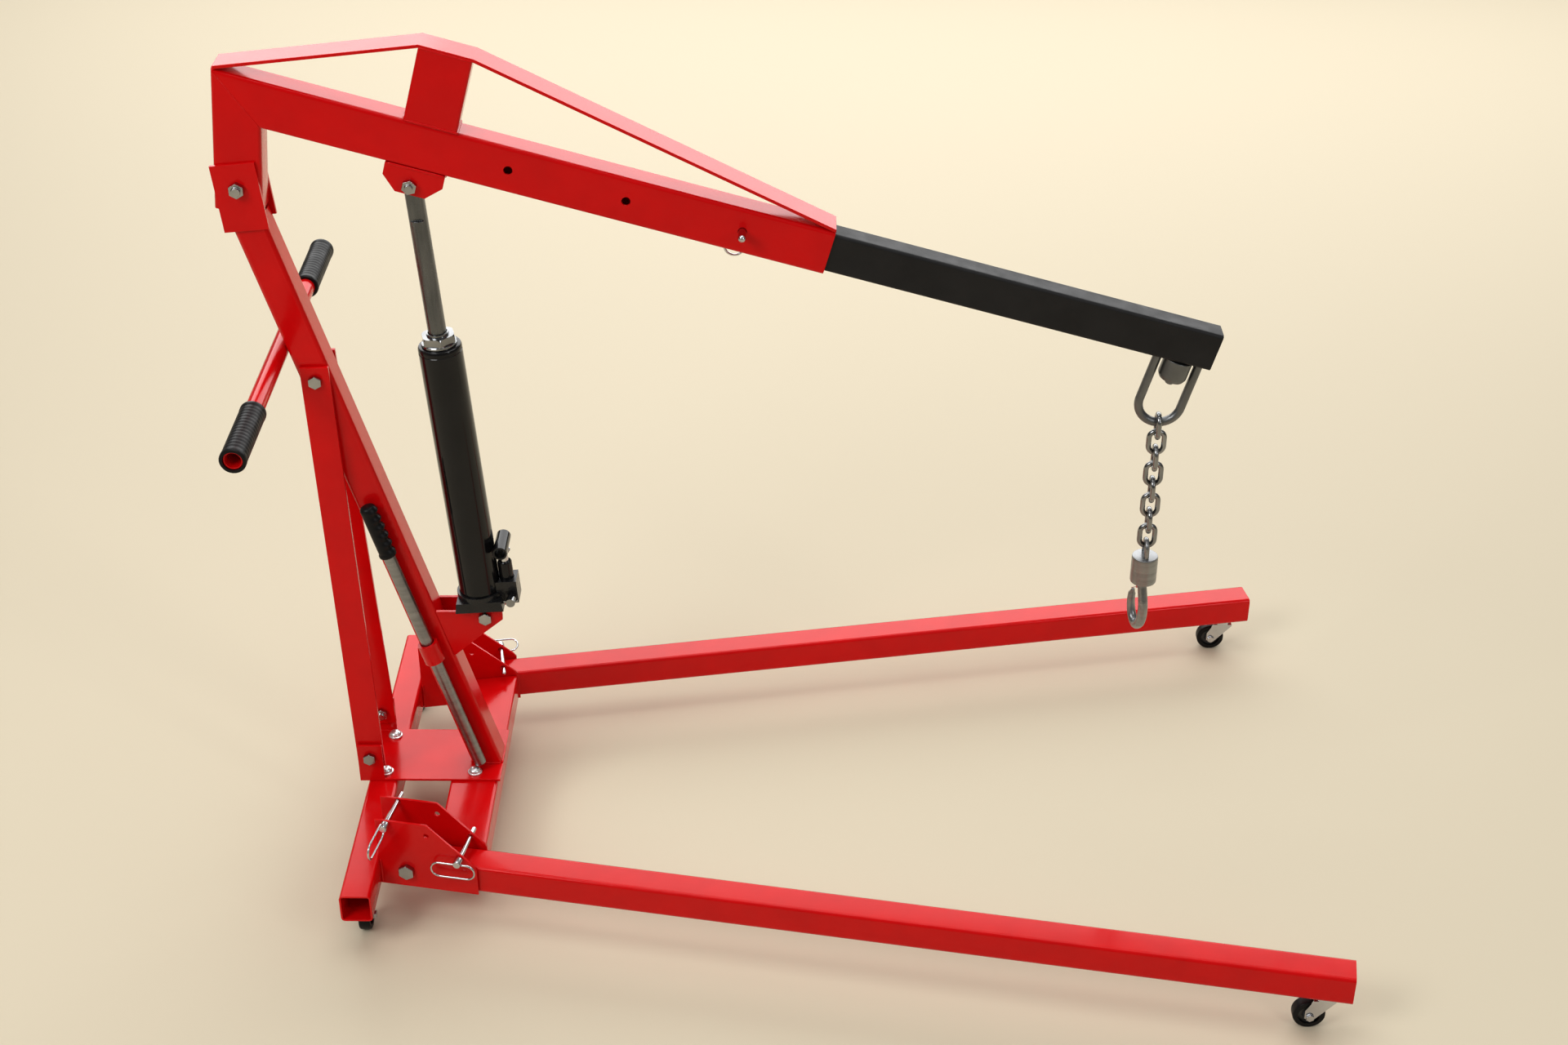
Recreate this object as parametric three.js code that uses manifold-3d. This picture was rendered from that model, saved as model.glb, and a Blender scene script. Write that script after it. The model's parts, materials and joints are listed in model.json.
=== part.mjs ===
// Folding engine hoist: a wheeled base with two splayed legs, a leaning mast, a trussed boom
// raised by a hydraulic ram, a telescopic extension and a chain with a swivel hook.
// Millimetres, +Z up, +X towards the leg tips, +Y to the machine's left.
import * as THREE from 'three';
import { mergeVertices } from 'three/addons/utils/BufferGeometryUtils.js';
import Module from 'manifold-3d';

const wasm = await Module();
wasm.setup();

// ---------------------------------------------------------------- driving dimensions

const GAP = 0.3;                    // clearance between neighbouring pieces
const TUBE = 50;                    // square tube of base, legs and mast
const WALL = 3;
const CORNER = 6;                   // outside corner radius of the tubes
const DECK = 66;                    // underside of base tubes and legs, set by the casters
const DECK_TOP = DECK + TUBE;

const REAR_TUBE_LENGTH = 720;
const FRONT_TUBE_BACK = 136;        // x of the front cross tube's rear face
const FRONT_TUBE_WIDTH = 80;
const PLATE_BACK = -13;             // base plate
const PLATE_FRONT = 220;
const PLATE_HALF = 69;
const PLATE_THICK = 4;
const LUG_THICK = 5;
const LUG_TOP = 188;

const SPLAY = THREE.MathUtils.degToRad(10.4);
const LEG_ROOT_Y = 236;             // where a leg's axis meets the rear tube's front face
const LEG_TAIL = 22;                // leg's rear end, measured along its axis
const LEG_END = 1528;
const LEG_PIVOT = { along: 50, up: 98 };
const BRACKET_PLATE = 4;
const BRACKET_HALF = TUBE / 2 + 1.5;
const BRACKET_TOP = 194;
const BRACKET_FRONT = 166;
const FRONT_PIN = { along: 139, up: 134.5 };
const REAR_PIN = { along: 22.5, up: 189 };
const SPARE_HOLE = { along: 87, up: 173 };
const TIP_CASTER = 1487;
const REAR_CASTER_Y = 315;

const MAST_FOOT_X = 193;
const MAST_LEAN = THREE.MathUtils.degToRad(16);
const MAST_LENGTH = 1028;
const BOOM_PIVOT = { x: -96.7, z: 1161.7 };
const BOOM_DROOP = THREE.MathUtils.degToRad(15.7);
const BOOM_WIDTH = 49;
const BOOM_HEIGHT = 70;
const ELBOW_RISE = 135;             // boom pivot to the centre of the mitre
const ELBOW_LEAN = THREE.MathUtils.degToRad(10);
const ELBOW_TAIL = 36;
const BOOM_END = 850.5;
const BOOM_AXIS = ELBOW_RISE * Math.cos(ELBOW_LEAN);
const BOOM_TOP = BOOM_AXIS + BOOM_HEIGHT / 2;
const BOOM_UNDER = BOOM_AXIS - BOOM_HEIGHT / 2;
const PIN_HOLES = [369.7, 544.1, 718.5];
const POST = { back: 210, front: 288, top: 278 };
const STRAP_THICK = 5;
const SIDE_PLATE = { inner: 19, outer: 24.5 };    // y of the paired plates round the ram

const EXTENSION_HEIGHT = 61;
const EXTENSION_WIDTH = 42;
const EXTENSION_TAIL = 40;
const EXTENSION_END = 738;
const SHACKLE_X = 692;              // along the extension, from its rear hole
const SHACKLE_DROP = 111.6;         // extension axis to the centre of the bend
const SHACKLE_BEND = 33;
const SHACKLE_ROD = 7;

const SWIVEL_LENGTH = 52;
const LINK_ROD = 4.25;
const LINK_BEND = 11.75;
const LINK_INNER = 29.4;            // inside length of a link
const LINK_COUNT = 8;
const LINK_PITCH = 28.4;

const RAM_TOP = { along: 238, up: 70.5 };         // in the boom's frame
const RAM_FOOT = { x: 210, z: 415 };
const RAM_HEEL = { x: 205, z: 415 };               // where the ram's axis passes the foot bolt
const RAM_CYLINDER = 33.5;
const RAM_BORE = 26;
const RAM_ROD = 14;

const WHEEL_RADIUS = 25;
const CASTER_TRAIL = 20;

// ---------------------------------------------------------------- finishes

const RED = { color: 0xd01012, roughness: 0.25, metalness: 0.1 };
const BLACK_COAT = { color: 0x15161a, roughness: 0.55, metalness: 0.2 };
const BLACK_GLOSS = { color: 0x08090b, roughness: 0.2, metalness: 0.3 };
const STEEL = { color: 0x6f7378, roughness: 0.35, metalness: 0.9 };
const ZINC = { color: 0xc4c8cc, roughness: 0.25, metalness: 1 };
const RUBBER = { color: 0x121315, roughness: 0.7, metalness: 0 };

// ---------------------------------------------------------------- helpers

function toSolid(geometry) {
  const bare = geometry.index ? geometry.toNonIndexed() : geometry.clone();
  bare.deleteAttribute('normal');
  bare.deleteAttribute('uv');
  const merged = mergeVertices(bare, 1e-4);
  return new wasm.Manifold(new wasm.Mesh({
    numProp: 3,
    vertProperties: merged.attributes.position.array,
    triVerts: new Uint32Array(merged.index.array),
  }));
}

function toGeometry(solid) {
  const mesh = solid.getMesh();
  const geometry = new THREE.BufferGeometry();
  geometry.setAttribute('position', new THREE.BufferAttribute(mesh.vertProperties, 3));
  geometry.setIndex(new THREE.BufferAttribute(mesh.triVerts, 1));
  return geometry;
}

function join(first, ...others) {
  const start = toSolid(first);
  return toGeometry(others.reduce((sum, part) => sum.add(toSolid(part)), start));
}

function cut(body, ...tools) {
  const start = toSolid(body);
  return toGeometry(tools.reduce((rest, tool) => rest.subtract(toSolid(tool)), start));
}

function box(x0, x1, y0, y1, z0, z1) {
  const geometry = new THREE.BoxGeometry(x1 - x0, y1 - y0, z1 - z0);
  return geometry.translate((x0 + x1) / 2, (y0 + y1) / 2, (z0 + z1) / 2);
}

// A cylinder, cone or hexagon (sides = 6) with its axis along x, y or z, from `start` to `end`.
function rod(axis, radius, start, end, a, b, sides = 16, endRadius = radius) {
  const geometry = new THREE.CylinderGeometry(endRadius, radius, end - start, sides);
  const middle = (start + end) / 2;
  if (axis === 'x') {
    return geometry.rotateZ(-Math.PI / 2).translate(middle, a, b);
  }
  if (axis === 'y') {
    return geometry.translate(a, middle, b);
  }
  return geometry.rotateX(Math.PI / 2).translate(a, b, middle);
}

function pipe(outer, inner, length, segments = 10) {
  const ring = new THREE.Shape();
  ring.absarc(0, 0, outer, 0, 2 * Math.PI, false);
  const bore = new THREE.Path();
  bore.absarc(0, 0, inner, 0, 2 * Math.PI, true);
  ring.holes.push(bore);
  return new THREE.ExtrudeGeometry(ring, { depth: length, bevelEnabled: false, curveSegments: segments });
}

// A flat plate whose outline lies in the x-z plane, between two y values.
function plate(points, y0, y1) {
  const outline = new THREE.Shape(points.map(([x, z]) => new THREE.Vector2(x, z)));
  const geometry = new THREE.ExtrudeGeometry(outline, { depth: y1 - y0, bevelEnabled: false });
  return geometry.rotateX(Math.PI / 2).translate(0, y1, 0);
}

function roundedOutline(Kind, width, height, radius) {
  const path = new Kind();
  const x = width / 2 - radius;
  const y = height / 2 - radius;
  path.moveTo(width / 2, -y);
  path.absarc(x, y, radius, 0, Math.PI / 2, false);
  path.absarc(-x, y, radius, Math.PI / 2, Math.PI, false);
  path.absarc(-x, -y, radius, Math.PI, 1.5 * Math.PI, false);
  path.absarc(x, -y, radius, 1.5 * Math.PI, 2 * Math.PI, false);
  return path;
}

function tubeSection(width, height, corner = CORNER, wall = WALL) {
  const section = roundedOutline(THREE.Shape, width, height, corner);
  section.holes.push(
    roundedOutline(THREE.Path, width - 2 * wall, height - 2 * wall, Math.max(corner - wall, 1)),
  );
  return section;
}

// Carries a section along a polyline of [x, z] corners, mitred at each one. The section's own x
// runs across the machine and its y in the plane of the polyline. `startSlope` slants the first cut.
function sweep(section, corners, startSlope = 0) {
  const path = corners.map(([x, z]) => new THREE.Vector2(x, z));
  const steps = path.length - 1;
  const geometry = new THREE.ExtrudeGeometry(section, {
    depth: steps,
    steps,
    bevelEnabled: false,
    curveSegments: 1,
  });
  const runs = path.slice(1).map((point, i) => point.clone().sub(path[i]).normalize());
  const position = geometry.attributes.position;
  for (let i = 0; i < position.count; i += 1) {
    const station = Math.round(position.getZ(i));
    const before = runs[Math.max(station - 1, 0)];
    const after = runs[Math.min(station, steps - 1)];
    const mitre = new THREE.Vector2(-before.y - after.y, before.x + after.x);
    mitre.multiplyScalar(2 / mitre.lengthSq());
    const across = position.getX(i);
    const rise = position.getY(i);
    const point = path[station].clone().addScaledVector(mitre, rise);
    if (station === 0) {
      point.addScaledVector(after, rise * startSlope);
    }
    position.setXYZ(i, point.x, across, point.y);
  }
  return geometry;
}

// A closed ring of round wire whose centreline is a stadium in the x-y plane: two half circles of
// radius `bend` joined by straights of length `straight` along y.
function wireRing(bend, straight, wire, around = 8, along = 12) {
  const geometry = new THREE.TorusGeometry(bend, wire, around, along);
  geometry.rotateZ(Math.PI / along);
  const position = geometry.attributes.position;
  for (let i = 0; i < position.count; i += 1) {
    position.setY(i, position.getY(i) + Math.sign(position.getY(i)) * straight / 2);
  }
  return geometry;
}

// Round bar through a list of [x, z] points, mitred at each one.
function polyBar(points, radius, sides = 12) {
  const section = new THREE.Shape();
  section.setFromPoints(Array.from({ length: sides }, (_, i) => {
    const angle = 2 * Math.PI * (i + 0.5) / sides;
    return new THREE.Vector2(radius * Math.cos(angle), radius * Math.sin(angle));
  }));
  return sweep(section, points);
}

// The [x, z] points of a half circle about (x, z), from its left end, over the top or underneath.
function halfCircle(x, z, radius, side, turns = 8) {
  return Array.from({ length: turns + 1 }, (_, i) => {
    const angle = Math.PI * (1 - i / turns);
    return [x + radius * Math.cos(angle), z + side * radius * Math.sin(angle)];
  });
}

// A hexagon bolt along y: head outside y0, nut outside y1 with the thread's end showing.
function bolt(x, z, y0, y1, shank, hex, headThick = shank * 1.2) {
  const direction = Math.sign(y1 - y0);
  const headEnd = y0 - direction * headThick;
  const nutEnd = y1 + direction * headThick * 1.1;
  const tip = nutEnd + direction * shank * 0.7;
  const span = (a, b) => [Math.min(a, b), Math.max(a, b)];
  return join(
    rod('y', shank, ...span(y0 - direction, tip), x, z, 16),
    rod('y', hex, ...span(headEnd, y0), x, z, 6),
    rod('y', hex, ...span(y1, nutEnd), x, z, 6),
  );
}

const hoist = new THREE.Group();

function frame(parent, x, y, z, tiltY = 0, turnZ = 0) {
  const group = new THREE.Group();
  group.position.set(x, y, z);
  group.rotation.set(0, tiltY, turnZ, 'ZYX');
  parent.add(group);
  return group;
}

function add(parent, name, geometry, finish) {
  const mesh = new THREE.Mesh(geometry, new THREE.MeshStandardMaterial(finish));
  mesh.name = name;
  parent.add(mesh);
  return mesh;
}

const SIDES = [
  { name: 'right', sign: -1 },
  { name: 'left', sign: 1 },
];

// ---------------------------------------------------------------- base

// Both plates of a leg bracket, in the leg's own frame (x along the leg, y outwards from centre).
function bracketPlates(sign) {
  const holes = [LEG_PIVOT, FRONT_PIN, REAR_PIN, SPARE_HOLE];
  const radii = [8.4, 4.6, 4.6, 4.6];
  return [-1, 1].map((face) => {
    const middle = face * (BRACKET_HALF + BRACKET_PLATE / 2);
    const rootX = (-1 + sign * middle * sign * Math.sin(SPLAY)) / Math.cos(SPLAY);
    const outline = [
      [rootX, DECK],
      [BRACKET_FRONT, DECK],
      [BRACKET_FRONT, DECK_TOP + 1],
      [BRACKET_FRONT - 5, DECK_TOP + 8],
      [88, BRACKET_TOP],
      [rootX, BRACKET_TOP],
    ];
    const y0 = sign * middle - BRACKET_PLATE / 2;
    const body = plate(outline, y0, y0 + BRACKET_PLATE);
    const drills = holes.map((hole, i) => rod('y', radii[i], y0 - 1, y0 + BRACKET_PLATE + 1,
      hole.along, hole.up, 16));
    return cut(body, ...drills);
  });
}

function legFrame(parent, sign) {
  return frame(parent, TUBE, sign * LEG_ROOT_Y, 0, 0, sign * SPLAY);
}

function inLegFrame(geometry, sign) {
  return geometry.rotateZ(sign * SPLAY).translate(TUBE, sign * LEG_ROOT_Y, 0);
}

function rearCrossTube() {
  const tube = sweep(tubeSection(TUBE, TUBE), [[-REAR_TUBE_LENGTH / 2, 0], [REAR_TUBE_LENGTH / 2, 0]]);
  tube.rotateZ(Math.PI / 2).translate(TUBE / 2, 0, DECK + TUBE / 2);
  const plates = SIDES.flatMap(({ sign }) => bracketPlates(sign).map((part) => inLegFrame(part, sign)));
  return join(tube, ...plates);
}

// The front cross tube lies flat and ends against the inner bracket plates.
function frontCrossTube() {
  const half = 1;
  const tube = sweep(tubeSection(FRONT_TUBE_WIDTH, TUBE), [[-half, 0], [half, 0]]);
  tube.rotateZ(Math.PI / 2).translate(FRONT_TUBE_BACK + FRONT_TUBE_WIDTH / 2, 0, DECK + TUBE / 2);
  const innerFace = LEG_ROOT_Y - (BRACKET_HALF + BRACKET_PLATE + 2 * GAP) / Math.cos(SPLAY);
  const position = tube.attributes.position;
  for (let i = 0; i < position.count; i += 1) {
    const reach = innerFace + (position.getX(i) - TUBE) * Math.tan(SPLAY);
    position.setY(i, position.getY(i) * reach);
  }
  return tube;
}

function basePlate() {
  const deck = box(PLATE_BACK, PLATE_FRONT, -PLATE_HALF, PLATE_HALF,
    DECK_TOP + GAP, DECK_TOP + GAP + PLATE_THICK);
  const lugs = SIDES.map(({ sign }) => {
    const inner = sign * (PLATE_HALF - LUG_THICK);
    const outer = sign * PLATE_HALF;
    const body = box(PLATE_BACK, 28, Math.min(inner, outer), Math.max(inner, outer),
      DECK_TOP + GAP + 1, LUG_TOP);
    return cut(body, rod('y', 6.6, Math.min(inner, outer) - 1, Math.max(inner, outer) + 1,
      BRACE_FOOT.x, BRACE_FOOT.z, 16));
  });
  return join(deck, ...lugs);
}

const BRACE_FOOT = { x: 7, y: 59, z: 164 };
const BRACE_TOP = { x: -16.4, y: 30, z: 850.4 };
const BRACE_WIDTH = 44;
const BRACE_THICK = 6;

function addBrace(parent, name, sign) {
  const foot = new THREE.Vector3(BRACE_FOOT.x, sign * BRACE_FOOT.y, BRACE_FOOT.z);
  const top = new THREE.Vector3(BRACE_TOP.x, sign * BRACE_TOP.y, BRACE_TOP.z);
  const along = top.clone().sub(foot);
  const length = along.length();
  along.normalize();
  const across = new THREE.Vector3(0, 1, 0).cross(along).normalize();
  const through = along.clone().cross(across);
  const body = box(-BRACE_WIDTH / 2, BRACE_WIDTH / 2, -BRACE_THICK / 2, BRACE_THICK / 2,
    -BRACE_WIDTH / 2, length + BRACE_WIDTH / 2);
  const mesh = add(parent, name, cut(body,
    rod('y', 6.8, -BRACE_THICK, BRACE_THICK, 0, 0, 16),
    rod('y', 6.8, -BRACE_THICK, BRACE_THICK, 0, length, 16)), RED);
  mesh.position.copy(foot);
  mesh.setRotationFromMatrix(new THREE.Matrix4().makeBasis(across, through, along));
}

add(hoist, 'rear_cross_tube', rearCrossTube(), RED);
add(hoist, 'front_cross_tube', frontCrossTube(), RED);
add(hoist, 'base_plate', basePlate(), RED);

for (const { name, sign } of SIDES) {
  addBrace(hoist, `brace_${name}`, sign);
  add(hoist, `brace_foot_bolt_${name}`, bolt(BRACE_FOOT.x, BRACE_FOOT.z,
    sign * (PLATE_HALF + GAP), sign * (BRACE_FOOT.y - BRACE_THICK / 2 - 1), 6, 11), ZINC);
}

const braceFace = BRACE_TOP.y + BRACE_THICK / 2 + 0.8;
add(hoist, 'brace_top_bolt', bolt(BRACE_TOP.x, BRACE_TOP.z, -braceFace, braceFace, 6, 11), ZINC);

// ---------------------------------------------------------------- mast

const mast = frame(hoist, MAST_FOOT_X, 0, DECK_TOP + PLATE_THICK + 2 * GAP, -MAST_LEAN);
mast.updateMatrixWorld(true);

function inMast(point) {
  return mast.worldToLocal(new THREE.Vector3(point.x, 0, point.z));
}

const HANDLE = { x: -4, y: -40.5, bottom: 15, top: 535, gripFrom: 441, radius: 10 };

function mastWeldment() {
  const tube = sweep(tubeSection(TUBE, TUBE), [[0, 0], [0, MAST_LENGTH]], Math.tan(MAST_LEAN));
  const pivot = inMast(BOOM_PIVOT);
  const foot = inMast(RAM_FOOT);
  const braceHole = inMast(BRACE_TOP);
  const parts = [];
  for (const { sign } of SIDES) {
    const headInner = sign * (TUBE / 2 - 0.1);
    const headOuter = sign * (TUBE / 2 + 5);
    const head = box(-33, 33, Math.min(headInner, headOuter), Math.max(headInner, headOuter), -66, 38);
    head.rotateY(THREE.MathUtils.degToRad(10.5)).translate(pivot.x, 0, pivot.z);
    parts.push(head);
    const y0 = sign > 0 ? SIDE_PLATE.inner : -SIDE_PLATE.outer;
    parts.push(plate([
      [TUBE / 2 - 1, foot.z + 32],
      [foot.x + 30, foot.z + 3],
      [foot.x + 26, foot.z - 11],
      [foot.x - 8, foot.z - 26],
      [TUBE / 2 - 1, foot.z - 57],
    ], y0, y0 + SIDE_PLATE.outer - SIDE_PLATE.inner));
  }
  const clip = cut(
    rod('z', 16.5, 231, 267, HANDLE.x, HANDLE.y, 24),
    rod('z', HANDLE.radius + 1, 230, 268, HANDLE.x, HANDLE.y, 24),
  );
  return cut(join(tube, ...parts, clip),
    rod('y', 7.6, -40, 40, pivot.x, pivot.z, 20),
    rod('y', 6.6, -40, 40, foot.x, foot.z, 20),
    rod('y', 6.6, -40, 40, braceHole.x, braceHole.z, 16));
}

add(mast, 'mast', mastWeldment(), RED);
add(hoist, 'boom_pivot_bolt', bolt(BOOM_PIVOT.x, BOOM_PIVOT.z,
  TUBE / 2 + 5.3, -TUBE / 2 - 5.3, 7, 12), ZINC);
add(hoist, 'ram_foot_bolt', bolt(RAM_FOOT.x, RAM_FOOT.z,
  -SIDE_PLATE.outer - GAP, SIDE_PLATE.outer + GAP, 6, 11.5), ZINC);

// ---------------------------------------------------------------- push bar

const PUSH_BAR = { x: -70, z: 892, half: 344, radius: 14, gripFrom: 205, gripTo: 347, grip: 19.5 };

add(hoist, 'push_bar', pipe(PUSH_BAR.radius, 11.5, 2 * PUSH_BAR.half)
  .rotateX(Math.PI / 2).translate(PUSH_BAR.x, PUSH_BAR.half, PUSH_BAR.z), RED);
for (const { name, sign } of SIDES) {
  const length = PUSH_BAR.gripTo - PUSH_BAR.gripFrom;
  const far = Math.max(sign * PUSH_BAR.gripFrom, sign * PUSH_BAR.gripTo);
  add(hoist, `push_grip_${name}`, pipe(PUSH_BAR.grip, PUSH_BAR.radius + GAP, length)
    .rotateX(Math.PI / 2).translate(PUSH_BAR.x, far, PUSH_BAR.z), RUBBER);
}

// ---------------------------------------------------------------- pump handle on the mast

function handleGrip() {
  const from = HANDLE.gripFrom;
  const bore = HANDLE.radius + GAP;
  const profile = [new THREE.Vector2(bore, from), new THREE.Vector2(13, from)];
  const bumps = 5;
  const rows = 10;
  for (let i = 1; i < rows; i += 1) {
    const share = i / rows;
    const wave = Math.cos(2 * Math.PI * bumps * share);
    profile.push(new THREE.Vector2(13.6 - wave * 0.9, from + (HANDLE.top - from - 8) * share));
  }
  profile.push(new THREE.Vector2(13, HANDLE.top - 5));
  profile.push(new THREE.Vector2(8, HANDLE.top));
  profile.push(new THREE.Vector2(0, HANDLE.top));
  profile.push(new THREE.Vector2(0, HANDLE.top - 10));
  profile.push(new THREE.Vector2(bore, HANDLE.top - 10));
  profile.push(new THREE.Vector2(bore, from));
  return new THREE.LatheGeometry(profile, 14).rotateX(Math.PI / 2).translate(HANDLE.x, HANDLE.y, 0);
}

add(mast, 'pump_handle', pipe(HANDLE.radius, 7.5, HANDLE.top - 12 - HANDLE.bottom)
  .translate(HANDLE.x, HANDLE.y, HANDLE.bottom), STEEL);
add(mast, 'pump_handle_grip', handleGrip(), RUBBER);

// ---------------------------------------------------------------- legs and lock pins

function leg() {
  const middle = DECK + TUBE / 2;
  const tube = sweep(tubeSection(TUBE, TUBE), [[LEG_TAIL, middle], [LEG_END, middle]]);
  return cut(tube, rod('y', 8.6, -TUBE, TUBE, LEG_PIVOT.along, LEG_PIVOT.up, 20));
}

// A spring-steel ring through a plain pin with a domed tip. The pin points inwards.
function lockPin(sign, ringHangs) {
  const outer = sign * 46;
  const tip = -sign * 50;
  const span = (a, b) => [Math.min(a, b), Math.max(a, b)];
  const shank = rod('y', 4, ...span(tip, sign * 40), 0, 0, 14);
  const dome = sign > 0
    ? rod('y', 2, tip - 3, tip, 0, 0, 14, 4)
    : rod('y', 4, tip, tip + 3, 0, 0, 14, 2);
  const head = rod('y', 7, ...span(sign * 33, outer), 0, 0, 14);
  const ring = wireRing(13.5, 44, 1.8, 6, 12);
  if (sign > 0) {
    ring.rotateZ(Math.PI / 2).rotateX(0.2).translate(ringHangs ? -4.5 : 2.5, 47, -4);
  } else if (ringHangs) {
    ring.rotateZ(Math.PI / 2).rotateX(Math.PI / 2).translate(-6, -40, -10);
  } else {
    ring.rotateY(Math.PI / 2).translate(0, -75.5, 0);
  }
  return join(shank, dome, head, ring);
}

const PIN_PLACES = { front: FRONT_PIN, rear: REAR_PIN };

for (const { name, sign } of SIDES) {
  const side = legFrame(hoist, sign);
  add(side, `leg_${name}`, leg(), RED);
  const face = BRACKET_HALF + BRACKET_PLATE + GAP;
  add(side, `leg_pivot_bolt_${name}`, bolt(LEG_PIVOT.along, LEG_PIVOT.up,
    sign * face, -sign * face, 8, 13.8, 8), ZINC);
  for (const [place, hole] of Object.entries(PIN_PLACES)) {
    const pin = frame(side, hole.along, 0, hole.up);
    add(pin, `${place}_lock_pin_${name}`, lockPin(sign, place === 'front'), ZINC);
  }
}

// ---------------------------------------------------------------- casters

function casterFork() {
  const top = DECK - GAP;
  const race = rod('z', 16, top - 10, top, 0, 0, 24);
  const crown = box(-17, 17, -13, 13, top - 13, top - 9);
  const cheek = (y) => plate([
    [-CASTER_TRAIL - 8, WHEEL_RADIUS - 3],
    [-CASTER_TRAIL, WHEEL_RADIUS - 8],
    [-CASTER_TRAIL + 8, WHEEL_RADIUS - 4],
    [17, top - 12],
    [17, top - 9],
    [-17, top - 9],
    [-CASTER_TRAIL - 8, WHEEL_RADIUS + 12],
  ], y, y + 2.5);
  const axle = rod('y', 4, -15, 15, -CASTER_TRAIL, WHEEL_RADIUS, 12);
  const nuts = [[-17, -13], [13, 17]].map(([y0, y1]) => (
    rod('y', 6.5, y0, y1, -CASTER_TRAIL, WHEEL_RADIUS, 6)));
  return join(race, crown, cheek(10.5), cheek(-13), axle, ...nuts);
}

function casterWheel() {
  const tread = WHEEL_RADIUS;
  const profile = [
    [4.5, -9.5], [10, -9.5], [12, -7.5], [19, -7.5], [21, -9.5], [tread, -8.5],
    [tread, 8.5], [21, 9.5], [19, 7.5], [12, 7.5], [10, 9.5], [4.5, 9.5], [4.5, -9.5],
  ];
  const points = profile.map(([radius, y]) => new THREE.Vector2(radius, y));
  return new THREE.LatheGeometry(points, 20);
}

function addCaster(parent, name, x, y, heading) {
  const caster = frame(parent, x, y, 0, 0, heading);
  add(caster, `caster_fork_${name}`, casterFork(), ZINC);
  add(caster, `caster_wheel_${name}`, casterWheel(), RUBBER).position.set(
    -CASTER_TRAIL, 0, WHEEL_RADIUS);
}

for (const { name, sign } of SIDES) {
  addCaster(legFrame(hoist, sign), `front_${name}`, TIP_CASTER, 0, -sign * SPLAY);
  addCaster(hoist, `rear_${name}`, TUBE / 2, sign * REAR_CASTER_Y, sign * Math.PI / 2);
}

// ---------------------------------------------------------------- boom

const boom = frame(hoist, BOOM_PIVOT.x, 0, BOOM_PIVOT.z, BOOM_DROOP);

function boomTube() {
  const lean = [Math.sin(ELBOW_LEAN), Math.cos(ELBOW_LEAN)];
  const tube = sweep(tubeSection(BOOM_WIDTH, BOOM_HEIGHT), [
    [ELBOW_TAIL * lean[0], -ELBOW_TAIL * lean[1]],
    [-ELBOW_RISE * lean[0], BOOM_AXIS],
    [BOOM_END, BOOM_AXIS],
  ]);
  const drills = PIN_HOLES.map((x) => rod('y', 6.6, -40, 40, x, BOOM_AXIS, 16));
  return cut(tube, rod('y', 7.6, -40, 40, 0, 0, 20), ...drills);
}

function boomStrap() {
  const section = new THREE.Shape([
    new THREE.Vector2(-BOOM_WIDTH / 2, -STRAP_THICK / 2),
    new THREE.Vector2(BOOM_WIDTH / 2, -STRAP_THICK / 2),
    new THREE.Vector2(BOOM_WIDTH / 2, STRAP_THICK / 2),
    new THREE.Vector2(-BOOM_WIDTH / 2, STRAP_THICK / 2),
  ]);
  const seat = STRAP_THICK / 2 + GAP;
  return sweep(section, [
    [-63, BOOM_TOP + seat],
    [POST.back, POST.top + seat],
    [POST.front, POST.top + seat],
    [BOOM_END - 1, BOOM_TOP + seat],
  ]);
}

function boomPost() {
  const middle = (POST.back + POST.front) / 2;
  return sweep(tubeSection(BOOM_WIDTH, POST.front - POST.back, 4),
    [[middle, BOOM_TOP + GAP], [middle, POST.top]]);
}

// A folded channel under the boom, whose two cheeks hold the ram's top bolt.
function ramLug() {
  const top = BOOM_UNDER - GAP;
  const x = RAM_TOP.along + 3;
  const outline = [
    [x - 44, top],
    [x - 44, top - 19],
    [x - 22, top - 41],
    [x + 22, top - 41],
    [x + 44, top - 19],
    [x + 44, top],
  ];
  const cheeks = SIDES.map(({ sign }) => {
    const y0 = sign > 0 ? SIDE_PLATE.inner : -SIDE_PLATE.outer;
    return plate(outline, y0, y0 + SIDE_PLATE.outer - SIDE_PLATE.inner);
  });
  const web = box(x - 44, x + 44, -SIDE_PLATE.outer, SIDE_PLATE.outer, top - 4, top);
  return cut(join(web, ...cheeks), rod('y', 6.6, -30, 30, RAM_TOP.along, RAM_TOP.up, 16));
}

function boomLockPin() {
  const shank = rod('y', 6, -50, 34, 0, 0, 18);
  const dome = rod('y', 3.4, -53, -50, 0, 0, 18, 6);
  const head = rod('y', 9, 27, 40, 0, 0, 18);
  const ring = wireRing(15, 42, 2, 6, 12).rotateX(Math.PI / 2).translate(0, 34, -30);
  return join(shank, dome, head, ring);
}

add(boom, 'boom_tube', boomTube(), RED);
add(boom, 'boom_strap', boomStrap(), RED);
add(boom, 'boom_post', boomPost(), RED);
add(boom, 'ram_lug', ramLug(), RED);
add(boom, 'ram_top_bolt', bolt(RAM_TOP.along, RAM_TOP.up,
  SIDE_PLATE.outer + GAP, -SIDE_PLATE.outer - GAP, 6, 11.5), ZINC);
const lastHole = PIN_HOLES[PIN_HOLES.length - 1];
add(frame(boom, lastHole, 0, BOOM_AXIS), 'boom_lock_pin', boomLockPin(), ZINC);

// ---------------------------------------------------------------- extension, shackle and hub

const extension = frame(boom, lastHole, 0, BOOM_AXIS);
const underside = -EXTENSION_HEIGHT / 2;

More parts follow.
